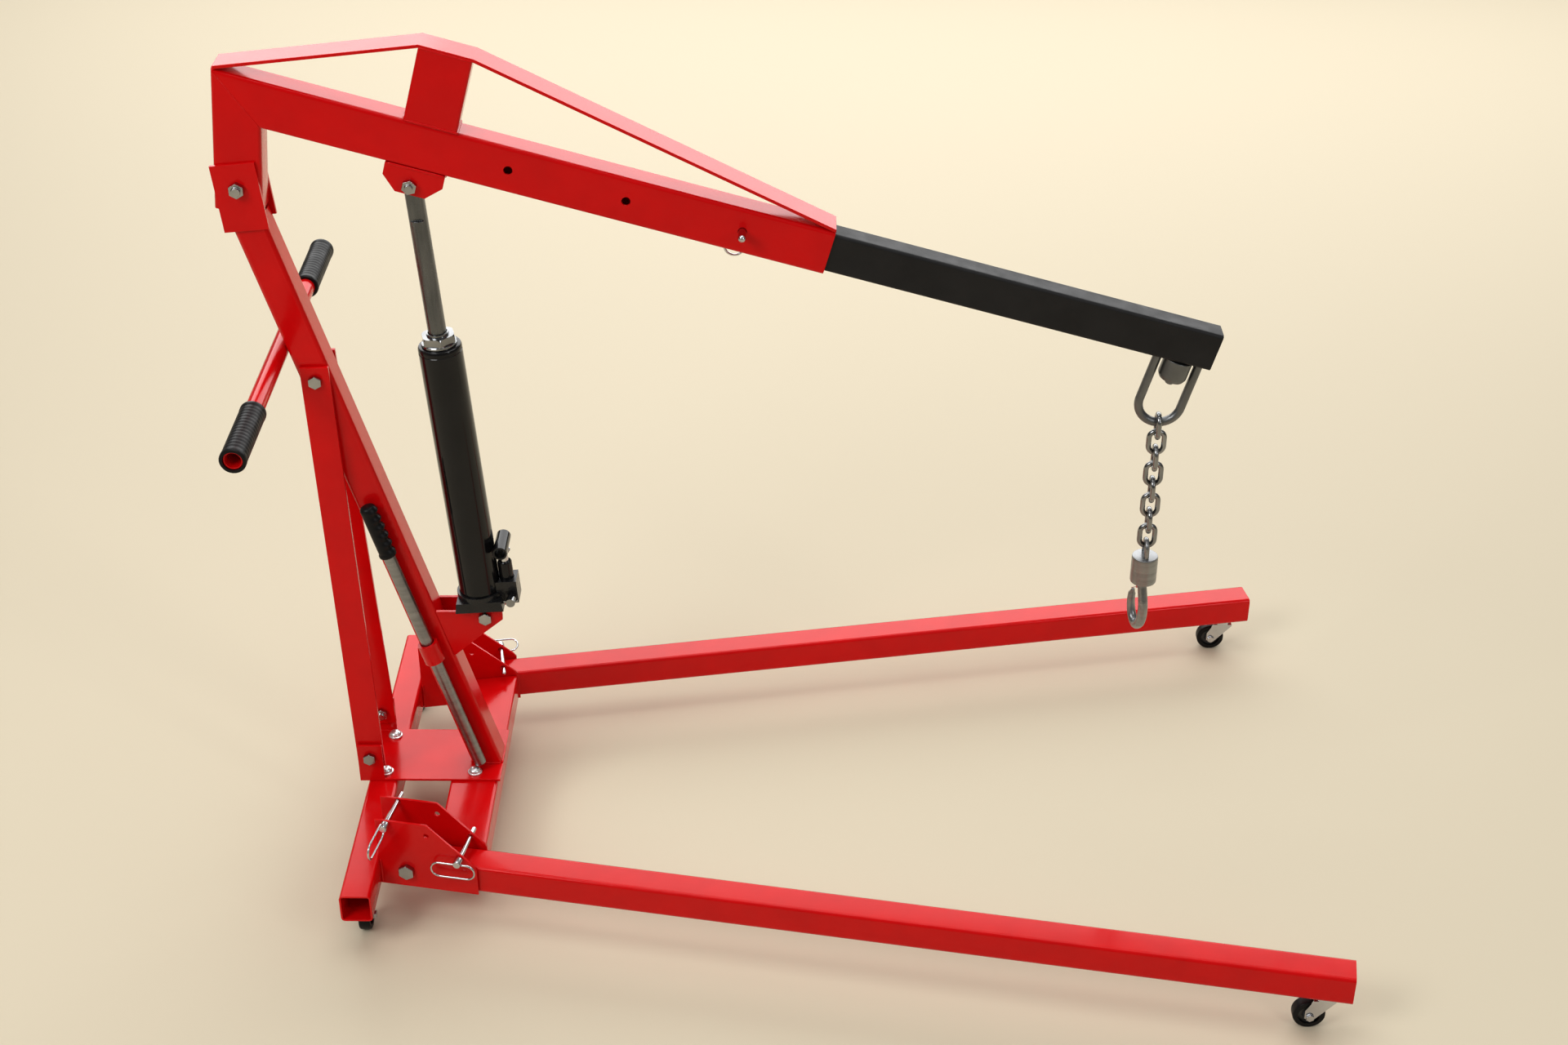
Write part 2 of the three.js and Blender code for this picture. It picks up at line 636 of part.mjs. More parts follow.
function extensionTube() {
  const tube = sweep(tubeSection(EXTENSION_WIDTH, EXTENSION_HEIGHT, 5),
    [[-EXTENSION_TAIL, 0], [EXTENSION_END, 0]]);
  return cut(tube,
    rod('y', 6.6, -40, 40, 0, 0, 16),
    rod('z', SHACKLE_ROD + 0.6, underside - 5, underside + 5, SHACKLE_X - SHACKLE_BEND, 0, 20),
    rod('z', SHACKLE_ROD + 0.6, underside - 5, underside + 5, SHACKLE_X + SHACKLE_BEND, 0, 20));
}

function shackleHub() {
  const top = underside - GAP;
  return join(
    rod('z', 22.5, top - 30, top, SHACKLE_X, 0, 28),
    rod('z', 19, top - 36, top - 30, SHACKLE_X, 0, 28, 22.5),
    rod('z', 7, top - 44, top - 35, SHACKLE_X, 0, 16),
  );
}

add(extension, 'extension_tube', extensionTube(), BLACK_COAT);
add(extension, 'shackle', polyBar([
  [SHACKLE_X - SHACKLE_BEND, underside + 22],
  ...halfCircle(SHACKLE_X, -SHACKLE_DROP, SHACKLE_BEND, -1),
  [SHACKLE_X + SHACKLE_BEND, underside + 22],
], SHACKLE_ROD), STEEL);
add(extension, 'shackle_hub', shackleHub(), STEEL);

// ---------------------------------------------------------------- chain, swivel and hook

const rig = frame(extension, SHACKLE_X, 0, -SHACKLE_DROP, -BOOM_DROOP);
const firstLink = -SHACKLE_BEND + SHACKLE_ROD + 3 * GAP - LINK_INNER / 2;

// The links hang alternately across and along the boom.
for (let i = 0; i < LINK_COUNT; i += 1) {
  const link = wireRing(LINK_BEND, LINK_INNER - 2 * LINK_BEND + 2 * LINK_ROD, LINK_ROD);
  link.rotateX(Math.PI / 2);
  const mesh = add(rig, `chain_link_${i + 1}`, link, ZINC);
  mesh.position.z = firstLink - i * LINK_PITCH;
  mesh.rotation.z = i % 2 === 0 ? Math.PI / 2 : 0;
}

const lastWire = firstLink - (LINK_COUNT - 1) * LINK_PITCH - LINK_INNER / 2 - LINK_ROD;
const eyeBend = lastWire + 2 * LINK_ROD + 3 * GAP - LINK_BEND;
const swivelTop = eyeBend - 16;

function swivelBody() {
  const profile = [
    [0, 0],
    [19, 0],
    [21, -2],
    [21, 5 - SWIVEL_LENGTH],
    [14, -SWIVEL_LENGTH],
    [7.8, -SWIVEL_LENGTH],
    [7.8, 16 - SWIVEL_LENGTH],
    [0, 16 - SWIVEL_LENGTH],
  ].map(([radius, z]) => new THREE.Vector2(radius, swivelTop + z));
  const body = new THREE.LatheGeometry(profile.reverse(), 20).rotateX(Math.PI / 2);
  const points = [
    [-LINK_BEND, swivelTop - 5],
    ...halfCircle(0, eyeBend, LINK_BEND, 1),
    [LINK_BEND, swivelTop - 5],
  ];
  return join(body, polyBar(points, LINK_ROD, 10).rotateZ(Math.PI / 2));
}

// The hook's centreline in its own plane, as [sideways, up] from the swivel's lower face.
const HOOK_LINE = [[0, 13], [0, 4], [0, -6], [4, -20], [9, -38], [9, -56], [3, -75], [-11, -87],
  [-26, -80], [-34, -61], [-34, -43], [-30, -31]];
const HOOK_TURN = THREE.MathUtils.degToRad(-73);

function hookBody() {
  const curve = new THREE.CatmullRomCurve3(
    HOOK_LINE.map(([side, up]) => new THREE.Vector3(side, 0, up)), false, 'centripetal');
  return polyBar(curve.getSpacedPoints(22).map((point) => [point.x, point.z]), 7.2, 10);
}

add(rig, 'swivel', swivelBody(), STEEL);
const hook = frame(rig, 0, 0, swivelTop - SWIVEL_LENGTH, 0, HOOK_TURN);
add(hook, 'hook', hookBody(), STEEL);

// ---------------------------------------------------------------- hydraulic ram

boom.updateMatrixWorld(true);
const ramTop = boom.localToWorld(new THREE.Vector3(RAM_TOP.along, 0, RAM_TOP.up));
const ramLean = Math.atan2(RAM_HEEL.x - ramTop.x, ramTop.z - RAM_HEEL.z);
const ramLength = Math.hypot(RAM_HEEL.x - ramTop.x, ramTop.z - RAM_HEEL.z);
const ram = frame(hoist, ramTop.x, 0, ramTop.z, -ramLean);
const CASTING_BOTTOM = 19 - ramLength;
const CASTING_TOP = CASTING_BOTTOM + 24;
const CYLINDER_TOP = -268;
const PUMP_X = 45.5;
const SOCKET_Z = CASTING_BOTTOM + 102;
const FULCRUM = { y: 16, z: SOCKET_Z - 19 };

function ramRod() {
  const eye = rod('y', RAM_ROD, -8.5, 8.5, 0, 0, 24);
  const shank = rod('z', RAM_ROD, -500, 0, 0, 0, 24);
  const flats = [[-20, -8.5], [8.5, 20]].map(([y0, y1]) => box(-20, 20, y0, y1, -62, 20));
  const piston = rod('z', RAM_BORE - 0.5, -520, -499, 0, 0, 28);
  return cut(join(shank, eye, piston), ...flats, rod('y', 6.6, -20, 20, 0, 0, 16));
}

function ramCylinder() {
  const tube = pipe(RAM_CYLINDER, RAM_BORE, CYLINDER_TOP - CASTING_BOTTOM - 8)
    .translate(0, 0, CASTING_BOTTOM + 8);
  return join(tube,
    rod('x', 5, RAM_BORE + 1, PUMP_X - 7, FULCRUM.y, FULCRUM.z, 14),
    rod('x', 3, PUMP_X - 8, PUMP_X + 9, FULCRUM.y, FULCRUM.z, 14));
}

function glandNut() {
  const hex = rod('z', 27.5, CYLINDER_TOP + GAP, CYLINDER_TOP + 16, 0, 0, 6);
  const collar = rod('z', 21, CYLINDER_TOP + 15, CYLINDER_TOP + 20, 0, 0, 24, 18);
  const spigot = rod('z', RAM_BORE - 0.5, CYLINDER_TOP - 18, CYLINDER_TOP + 1, 0, 0, 28);
  return cut(join(hex, collar, spigot), rod('z', RAM_ROD + 0.5, -400, -200, 0, 0, 24));
}

// Cast foot: a collar that flares to a square sole, the pump housing beside it, and a saddle that
// stands on the foot bolt between the mast's plates.
function ramBase() {
  const square = new THREE.CylinderGeometry(51, 55, 16, 4, 1)
    .rotateY(Math.PI / 4).rotateX(Math.PI / 2).translate(0, 0, CASTING_BOTTOM + 8);
  const collar = rod('z', 39, CASTING_BOTTOM + 1, CASTING_TOP, 0, 0, 28, 37.5);
  const housing = box(20, 62, -18, 18, CASTING_BOTTOM + 2, CASTING_BOTTOM + 42);
  const saddle = box(-17, 17, 1 - SIDE_PLATE.inner, SIDE_PLATE.inner - 1, 10 - ramLength, CASTING_BOTTOM + 1);
  const barrelSeat = rod('z', 12, CASTING_BOTTOM + 20, CASTING_BOTTOM + 43, PUMP_X, 0, 20);
  return cut(join(square, collar, housing, saddle),
    rod('z', RAM_CYLINDER + GAP, CASTING_BOTTOM + 7.7, CASTING_TOP + 40, 0, 0, 32),
    barrelSeat);
}

function pumpBarrel() {
  const low = CASTING_BOTTOM + 20.3;
  const high = FULCRUM.z - 11;
  return cut(rod('z', 11.6, low, high, PUMP_X, 0, 20), rod('z', 7.4, low + 6, high + 1, PUMP_X, 0, 18));
}

function pumpPlunger() {
  return join(
    rod('z', 7, CASTING_BOTTOM + 38, SOCKET_Z - 21, PUMP_X, 0, 18),
    rod('z', 7, SOCKET_Z - 21, SOCKET_Z - 13.2, PUMP_X, 0, 18, 2.5),
  );
}

function pumpSocket() {
  const tube = pipe(11.5, 8.5, 56).rotateX(Math.PI / 2).translate(PUMP_X, 28, SOCKET_Z);
  const ear = box(PUMP_X - 6.6, PUMP_X + 5, FULCRUM.y - 6, FULCRUM.y + 6, FULCRUM.z - 6, SOCKET_Z - 9);
  return cut(join(tube, ear), rod('x', 3.4, 30, 60, FULCRUM.y, FULCRUM.z, 14));
}

function releaseValve() {
  const stem = rod('y', 4, -26, -18 - GAP, PUMP_X + 6, CASTING_BOTTOM + 14, 14);
  const knob = rod('y', 7.5, -38, -25, PUMP_X + 6, CASTING_BOTTOM + 14, 14);
  const bar = box(PUMP_X - 5, PUMP_X + 17, -33, -30, CASTING_BOTTOM + 12.5, CASTING_BOTTOM + 15.5);
  return join(stem, knob, bar);
}

add(ram, 'ram_rod', ramRod(), STEEL);
add(ram, 'ram_cylinder', ramCylinder(), BLACK_GLOSS);
add(ram, 'gland_nut', glandNut(), ZINC);
add(ram, 'ram_base', ramBase(), BLACK_GLOSS);
add(ram, 'pump_barrel', pumpBarrel(), BLACK_GLOSS);
add(ram, 'pump_plunger', pumpPlunger(), ZINC);
add(ram, 'pump_socket', pumpSocket(), BLACK_GLOSS);
add(ram, 'release_valve', releaseValve(), ZINC);

// The origin is the middle of the machine's outline on the ground.
hoist.updateMatrixWorld(true);
const outline = new THREE.Box3().setFromObject(hoist, true);
hoist.position.set(-(outline.min.x + outline.max.x) / 2, -(outline.min.y + outline.max.y) / 2, 0);

export default hoist;
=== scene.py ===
import itertools
import json
import math
import bpy
import bmesh
from mathutils import Matrix, Vector


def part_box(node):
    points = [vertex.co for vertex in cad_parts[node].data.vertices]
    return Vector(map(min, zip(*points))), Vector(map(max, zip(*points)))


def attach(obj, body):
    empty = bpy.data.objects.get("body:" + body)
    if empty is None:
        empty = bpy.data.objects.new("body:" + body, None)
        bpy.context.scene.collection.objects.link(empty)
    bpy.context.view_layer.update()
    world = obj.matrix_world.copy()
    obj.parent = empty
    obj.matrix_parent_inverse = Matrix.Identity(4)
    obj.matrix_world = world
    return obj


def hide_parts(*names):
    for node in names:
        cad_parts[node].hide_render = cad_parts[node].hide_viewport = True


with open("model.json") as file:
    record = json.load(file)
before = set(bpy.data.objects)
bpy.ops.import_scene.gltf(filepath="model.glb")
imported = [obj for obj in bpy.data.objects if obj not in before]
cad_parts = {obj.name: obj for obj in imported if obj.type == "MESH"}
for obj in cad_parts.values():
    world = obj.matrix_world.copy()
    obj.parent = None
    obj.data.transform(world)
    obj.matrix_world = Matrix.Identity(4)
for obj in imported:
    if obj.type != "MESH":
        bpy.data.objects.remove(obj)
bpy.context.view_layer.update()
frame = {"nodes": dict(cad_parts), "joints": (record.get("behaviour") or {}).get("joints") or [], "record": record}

# An engine hoist crane. X points along the legs, Y away from the camera and Z up.
# Profiles and points are in millimetres, in local frames laid in the part's frame in metres.

MM = 0.001
SIDES = {"right": -1, "left": 1}
JOINTS = {joint["name"]: joint for joint in frame["joints"]}
HOME = {member: body for body, members in frame["record"]["behaviour"]["bodies"].items()
        for member in members}


# ------------------------------------------------------------------ materials

MOTTLE = (16, 5)         # noise scale and detail of each layer
GLOSS = (38, 6)
CHIPS = (95, 6)
GRAIN_DETAIL = 3
WEAR_REACH = 0.0014      # how far from an edge paint wears, in metres


def finish(name, slot, base, second, rough, rough_spread, grain, bump, wear, wear_amount=0.6,
           metallic=0.0, coat=0.0, coat_rough=0.05, stretch=(1, 1, 1), bump_size=0.0002,
           specular=0.5, tint=(1, 1, 1)):
    """A painted, plated or moulded surface: mottled colour, uneven gloss, worn edges, grain."""
    mat = bpy.data.materials.new(name)
    mat.use_nodes = True
    nodes, links = mat.node_tree.nodes, mat.node_tree.links
    shader = nodes["Principled BSDF"]
    mapping = nodes.new("ShaderNodeMapping")
    mapping.inputs["Scale"].default_value = stretch
    links.new(nodes.new("ShaderNodeTexCoord").outputs["Object"], mapping.inputs["Vector"])

    def noise(scale, detail):
        node = nodes.new("ShaderNodeTexNoise")
        node.inputs["Scale"].default_value = scale
        node.inputs["Detail"].default_value = detail
        links.new(mapping.outputs["Vector"], node.inputs["Vector"])
        return node.outputs["Fac"]

    def spread(source, low, high, out_low=0.0, out_high=1.0):
        node = nodes.new("ShaderNodeMapRange")
        for socket, value in zip(("From Min", "From Max", "To Min", "To Max"),
                                 (low, high, out_low, out_high)):
            node.inputs[socket].default_value = value
        links.new(source, node.inputs["Value"])
        return node.outputs["Result"]

    def product(first, factor):
        node = nodes.new("ShaderNodeMath")
        node.operation = "MULTIPLY"
        links.new(first, node.inputs[0])
        links.new(factor, node.inputs[1])
        return node.outputs[0]

    def mix(share, under, over):
        """A colour laid over another by a share. under is a colour or a node's output."""
        node = nodes.new("ShaderNodeMix")
        node.data_type = "RGBA"
        lower, upper = [s for s in node.inputs if s.type == "RGBA"]
        if isinstance(under, tuple):
            lower.default_value = (*under, 1)
        else:
            links.new(under, lower)
        upper.default_value = (*over, 1)
        links.new(share, node.inputs[0])
        return next(s for s in node.outputs if s.type == "RGBA")

    rounded = nodes.new("ShaderNodeBevel")
    rounded.samples = 4
    rounded.inputs["Radius"].default_value = WEAR_REACH
    dot = nodes.new("ShaderNodeVectorMath")
    dot.operation = "DOT_PRODUCT"
    links.new(rounded.outputs["Normal"], dot.inputs[0])
    links.new(nodes.new("ShaderNodeNewGeometry").outputs["Normal"], dot.inputs[1])
    rim = spread(dot.outputs["Value"], 0.97, 0.80)
    chips = spread(noise(*CHIPS), 0.52, 0.66, 0.0, wear_amount)

    paint = mix(spread(noise(*MOTTLE), 0.35, 0.65), base, second)
    links.new(mix(product(rim, chips), paint, wear), shader.inputs["Base Color"])
    links.new(spread(noise(*GLOSS), 0.3, 0.7, rough, rough + rough_spread),
              shader.inputs["Roughness"])
    for socket, value in (("Metallic", metallic), ("Specular IOR Level", specular),
                          ("Specular Tint", (*tint, 1)), ("Coat Weight", coat),
                          ("Coat Roughness", coat_rough)):
        shader.inputs[socket].default_value = value

    bumps = nodes.new("ShaderNodeBump")
    bumps.inputs["Strength"].default_value = bump
    bumps.inputs["Distance"].default_value = bump_size
    links.new(noise(grain, GRAIN_DETAIL), bumps.inputs["Height"])
    links.new(bumps.outputs["Normal"], shader.inputs["Normal"])
    mat["slot"] = slot
    return mat


RED = finish("red_paint", "red_paint", base=(0.66, 0.002, 0.003), second=(0.60, 0.002, 0.003),
             rough=0.14, rough_spread=0.08, grain=420, bump=0.03, wear=(0.32, 0.015, 0.015),
             wear_amount=0.5, coat=0.07, coat_rough=0.04, tint=(1, 0.25, 0.25))
COAT = finish("black_textured", "black_textured", base=(0.006, 0.006, 0.007),
              second=(0.010, 0.010, 0.011), rough=0.42, rough_spread=0.12, grain=1500,
              bump=0.5, wear=(0.05, 0.05, 0.05), wear_amount=0.5, specular=0.25)
BLACK = finish("black_gloss", "black_gloss", base=(0.004, 0.004, 0.0045),
               second=(0.007, 0.007, 0.0075), rough=0.10, rough_spread=0.06, grain=380,
               bump=0.05, wear=(0.05, 0.05, 0.05), wear_amount=0.5, coat=0.08,
               coat_rough=0.03, specular=0.22)
CAST = finish("black_cast", "black_gloss", base=(0.006, 0.006, 0.0065),
              second=(0.010, 0.010, 0.011), rough=0.20, rough_spread=0.12, grain=700,
              bump=0.45, bump_size=0.0004, wear=(0.07, 0.07, 0.07), coat=0.15,
              coat_rough=0.08, specular=0.3)
STEEL = finish("brushed_steel", "steel", base=(0.15, 0.155, 0.16), second=(0.11, 0.115, 0.12),
               metallic=1.0, rough=0.22, rough_spread=0.12, grain=260, bump=0.14,
               wear=(0.45, 0.45, 0.46), stretch=(6, 6, 1))
FORGED = finish("forged_steel", "steel", base=(0.20, 0.205, 0.21), second=(0.14, 0.145, 0.15),
                metallic=1.0, rough=0.30, rough_spread=0.12, grain=520, bump=0.2,
                wear=(0.5, 0.5, 0.5))
BRIGHT = finish("bright_steel", "steel", base=(0.30, 0.305, 0.31), second=(0.23, 0.235, 0.24),
                metallic=1.0, rough=0.26, rough_spread=0.12, grain=420, bump=0.2,
                wear=(0.7, 0.7, 0.7), stretch=(1, 1, 8))
ZINC = finish("zinc_plate", "zinc", base=(0.62, 0.63, 0.65), second=(0.50, 0.51, 0.54),
              metallic=1.0, rough=0.10, rough_spread=0.10, grain=300, bump=0.08,
              wear=(0.86, 0.86, 0.87))
BOLT = finish("bolt_plate", "zinc", base=(0.40, 0.405, 0.41), second=(0.28, 0.285, 0.29),
              metallic=1.0, rough=0.14, rough_spread=0.12, grain=300, bump=0.1,
              wear=(0.7, 0.7, 0.7))
CHROME = finish("washer_plate", "zinc", base=(0.86, 0.86, 0.87), second=(0.78, 0.79, 0.80),
                metallic=0.9, rough=0.24, rough_spread=0.1, grain=300, bump=0.08,
                wear=(0.9, 0.9, 0.9))
DULL = finish("dull_plate", "zinc", base=(0.30, 0.305, 0.31), second=(0.20, 0.205, 0.21),
              metallic=1.0, rough=0.12, rough_spread=0.12, grain=300, bump=0.1,
              wear=(0.6, 0.6, 0.6))
RUBBER = finish("rubber", "rubber", base=(0.004, 0.004, 0.0045), second=(0.007, 0.007, 0.0075),
                rough=0.32, rough_spread=0.15, grain=900, bump=0.3, wear=(0.03, 0.03, 0.03),
                wear_amount=0.7, specular=0.14)
HUB = finish("wheel_hub", "rubber", base=(0.020, 0.020, 0.021), second=(0.032, 0.032, 0.034),
             rough=0.35, rough_spread=0.15, grain=600, bump=0.2, wear=(0.06, 0.06, 0.06))


# ------------------------------------------------------------------ frames

UP = Vector((0, 0, 1))
ACROSS = Vector((0, 1, 0))
ALONG_X = Matrix.Rotation(math.pi / 2, 4, "Y")     # lays a shape's Z axis along X or Y
ALONG_Y = Matrix.Rotation(-math.pi / 2, 4, "X")
QUARTER = {axis: Matrix.Rotation(math.pi / 2, 4, axis) for axis in "XYZ"}


def joint_at(name):
    return Vector(JOINTS[name]["pos_m"])


def joint_axis(name):
    return Vector(JOINTS[name]["axis"])


def axes(origin, x, y, z):
    """A local frame in millimetres, laid in the part's frame in metres."""
    turn = Matrix((x, y, z)).transposed().to_4x4()
    return Matrix.Translation(origin) @ turn @ Matrix.Scale(MM, 4)


def leaning(origin, z):
    """A local frame with Z in the middle plane of the crane and Y across it."""
    return axes(origin, ACROSS.cross(z), ACROSS, z)


def level(origin, y=ACROSS):
    """A local frame with Z up and a level Y."""
    return axes(origin, y.cross(UP), y, UP)


def shifted(base, x, y, z):
    return base @ Matrix.Translation((x, y, z))


BOOM_PIN_ALONG = 718.5                              # boom pivot to the extension's lock pin
BOOM_AXIS = 135 * math.cos(math.radians(10))        # boom pivot to the middle of the boom tube
SHACKLE_ALONG = 692                                 # lock pin to the shackle
boom_x = joint_axis("extension_slide")
BOOM = axes(joint_at("boom_raise"), boom_x, ACROSS, boom_x.cross(ACROSS))
EXTENSION = shifted(BOOM, BOOM_PIN_ALONG, 0, BOOM_AXIS)
SHACKLE = shifted(EXTENSION, SHACKLE_ALONG, 0, 0)

ram_up = -joint_axis("ram_stroke")
RAM = leaning(joint_at("ram_top_pivot"), ram_up)
foot_low, foot_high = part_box("ram_foot_bolt")
foot_height = (foot_low.z + foot_high.z) / 2
RAM_LENGTH = (RAM.translation.z - foot_height) / ram_up.z / MM      # top bolt to foot bolt

TUBE = 0.05                                                   # width of the base's square tube
BACK = joint_at("rear_swivel_right").x - TUBE / 2             # its rear face
MAST_FOOT_X = 0.193
MAST_FOOT_Z = 0.1206
LEG_Y = 0.236
MAST = leaning(Vector((BACK + MAST_FOOT_X, 0, MAST_FOOT_Z)), joint_axis("handle_lift"))
FLOOR = level(Vector((BACK, 0, 0)))


def leg_axes(side):
    """A leg's frame at the rear cross tube's front face, with Y across the leg to the left."""
    sign = SIDES[side]
    across = joint_axis(f"front_pin_pull_{side}") * sign
    return level(Vector((BACK + TUBE, sign * LEG_Y, 0)), across)


# ------------------------------------------------------------------ meshes

MERGE = 2e-5                       # CAD corners closer than this, in metres, are one
FLAT = math.radians(0.6)           # CAD faces that meet at less than this are one
ON_AXIS = 1e-6


def crisp(obj, bevel, angle):
    """Smooth faces, sharp past the angle, with a small rounded edge that catches the light."""
    mesh = obj.data
    bm = bmesh.new()
    bm.from_mesh(mesh)
    bmesh.ops.recalc_face_normals(bm, faces=bm.faces)
    for face in bm.faces:
        face.smooth = True
    for edge in bm.edges:
        if len(edge.link_faces) == 2:
            edge.smooth = edge.calc_face_angle(0) < math.radians(angle)
    bm.to_mesh(mesh)
    bm.free()
    if bevel:
        rounding = obj.modifiers.new("edge", "BEVEL")
        rounding.width = bevel * MM
        rounding.segments = 2
        rounding.limit_method = "ANGLE"
        rounding.angle_limit = math.radians(angle)
        rounding.harden_normals = False
    weighting = obj.modifiers.new("normals", "WEIGHTED_NORMAL")
    weighting.keep_sharp = not bevel
    weighting.weight = 90


def place(name, shape, base, material, body, nodes=(), bevel=0.0, angle=40):
    """A shape of (verts, faces) in a local frame, as a piece that rides on a body."""
    verts, faces = shape
    mesh = bpy.data.meshes.new(name)
    mesh.from_pydata([base @ Vector(v) for v in verts], [], faces)
    obj = bpy.data.objects.new(name, mesh)
    bpy.context.scene.collection.objects.link(obj)
    mesh.materials.append(material)
    crisp(obj, bevel, angle)
    if nodes:
        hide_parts(*nodes)
    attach(obj, body)


def refine(node, material, bevel=0.7, angle=50):
    """The CAD node's own shape, with flat faces merged and its edges rounded."""
    bm = bmesh.new()
    bm.from_mesh(frame["nodes"][node].data)
    bmesh.ops.remove_doubles(bm, verts=bm.verts, dist=MERGE)
    bmesh.ops.dissolve_limit(bm, angle_limit=FLAT, verts=bm.verts, edges=bm.edges)
    bm.verts.ensure_lookup_table()
    verts = [v.co.copy() for v in bm.verts]
    faces = [[v.index for v in f.verts] for f in bm.faces]
    bm.free()
    place(node + "_fine", (verts, faces), Matrix.Identity(4), material, HOME[node], (node,),
          bevel, angle)


def lathe(profile, segments=48, shape=None):
    """A profile of (radius, height) turned about Z; closed on itself unless it meets the axis."""
    verts, faces, rings = [], [], []
    for radius, height in profile:
        if radius < ON_AXIS:
            rings.append([len(verts)] * segments)
            verts.append((0, 0, height))
            continue
        rings.append(list(range(len(verts), len(verts) + segments)))
        for i in range(segments):
            angle = 2 * math.pi * i / segments
            reach = radius if shape is None else shape(radius, angle, height)
            verts.append((reach * math.cos(angle), reach * math.sin(angle), height))
    pairs = list(zip(rings, rings[1:]))
    if profile[0][0] > ON_AXIS and profile[-1][0] > ON_AXIS:
        pairs.append((rings[-1], rings[0]))
    for lower, upper in pairs:
        for i in range(segments):
            j = (i + 1) % segments
            corners = list(dict.fromkeys((lower[i], lower[j], upper[j], upper[i])))
            if len(corners) > 2:
                faces.append(corners)
    return verts, faces


def wire(points, radius, sides=14, closed=False):
    """Round bar along 3-D points. radius is a number or a function of the share of the length."""
    path = [Vector(p) for p in points]
    count = len(path)
    verts, faces = [], []
    normal = None
    for i in range(count):
        before = path[(i - 1) % count] if closed or i else path[0]
        after = path[(i + 1) % count] if closed or i < count - 1 else path[-1]
        tangent = (after - before).normalized()
        if normal is None:
            helper = Vector((0, 1, 0)) if abs(tangent.y) < 0.9 else Vector((1, 0, 0))
            normal = helper.cross(tangent).normalized()
        normal = (normal - tangent * normal.dot(tangent)).normalized()
        side = tangent.cross(normal)
        reach = radius(i / (count - 1)) if callable(radius) else radius
        for k in range(sides):
            angle = 2 * math.pi * k / sides
            verts.append(path[i] + (normal * math.cos(angle) + side * math.sin(angle)) * reach)
    for i in range(count if closed else count - 1):
        j = (i + 1) % count
        for k in range(sides):
            m = (k + 1) % sides
            faces.append([i * sides + k, i * sides + m, j * sides + m, j * sides + k])
    if not closed:
        faces.append(list(range(sides)))
        faces.append(list(range((count - 1) * sides, count * sides)))
    return verts, faces


def stadium(bend, straight, steps=14):
    """Points of a ring in the X-Y plane, with straights along Y."""
    points = []
    for half, shift in ((0, straight / 2), (math.pi, -straight / 2)):
        for i in range(steps + 1):
            angle = half + math.pi * i / steps
            points.append((bend * math.cos(angle), bend * math.sin(angle) + shift, 0))
    return points


def spline(points, steps=8):
    """A smooth curve through 2-D points."""
    ends = [points[0]] + points + [points[-1]]
    curve = []
    for p0, p1, p2, p3 in zip(ends, ends[1:], ends[2:], ends[3:]):
        for i in range(steps):
            t = i / steps
            curve.append([0.5 * (2 * b + (c - a) * t + (2 * a - 5 * b + 4 * c - d) * t ** 2
                                 + (3 * b - a - 3 * c + d) * t ** 3)
                          for a, b, c, d in zip(p0, p1, p2, p3)])
    curve.append(list(points[-1]))
    return curve


def block(x0, x1, y0, y1, z0, z1):
    verts = [(x, y, z) for x in (x0, x1) for y in (y0, y1) for z in (z0, z1)]
    return verts, [[0, 1, 3, 2], [4, 6, 7, 5], [0, 4, 5, 1], [2, 3, 7, 6], [0, 2, 6, 4],
                   [1, 5, 7, 3]]


def turned(points, matrix):
    return [matrix @ Vector(p) for p in points]


def moved(shape, matrix):
    verts, faces = shape
    return turned(verts, matrix), faces


def joined(*shapes):
    verts, faces = [], []
    for shape_verts, shape_faces in shapes:
        start = len(verts)
        verts.extend(shape_verts)
        faces.extend([[index + start for index in face] for face in shape_faces])
    return verts, faces


# ------------------------------------------------------------------ welded structure

for node in ("rear_cross_tube", "front_cross_tube", "base_plate", "mast", "brace_right",
             "brace_left", "boom_tube", "boom_strap", "boom_post", "ram_lug", "leg_right",
             "leg_left"):
    refine(node, RED)
refine("extension_tube", COAT)
for node in ("brace_foot_bolt_right", "brace_foot_bolt_left", "brace_top_bolt",
             "boom_pivot_bolt", "ram_foot_bolt", "leg_pivot_bolt_right",
             "leg_pivot_bolt_left", "ram_top_bolt"):
    refine(node, BOLT, 1.0)

WELD_NUMBERS = itertools.count(1)
WELD_STEP = 1.6           # millimetres between the rings of a bead
RIPPLES_PER_RING = 0.42


def weld(points, base, body, radius=1.9):
    """A painted weld bead with ripples, thinner at its two ends."""
    path = [Vector(p) for p in points]
    fine = []
    for start, end in zip(path, path[1:]):
        steps = max(2, int((end - start).length / WELD_STEP))
        fine.extend(start.lerp(end, i / steps) for i in range(steps))
    fine.append(path[-1])
    ripples = len(fine) * RIPPLES_PER_RING

    def bead(share):
        fade = min(1, 30 * share, 30 * (1 - share))
        wave = math.sin(ripples * 2 * math.pi * share)
        return radius * (0.3 + 0.7 * fade) * (1 + 0.13 * wave)

    place(f"weld_{next(WELD_NUMBERS)}", wire(fine, bead, 8), base, RED, body, angle=180)


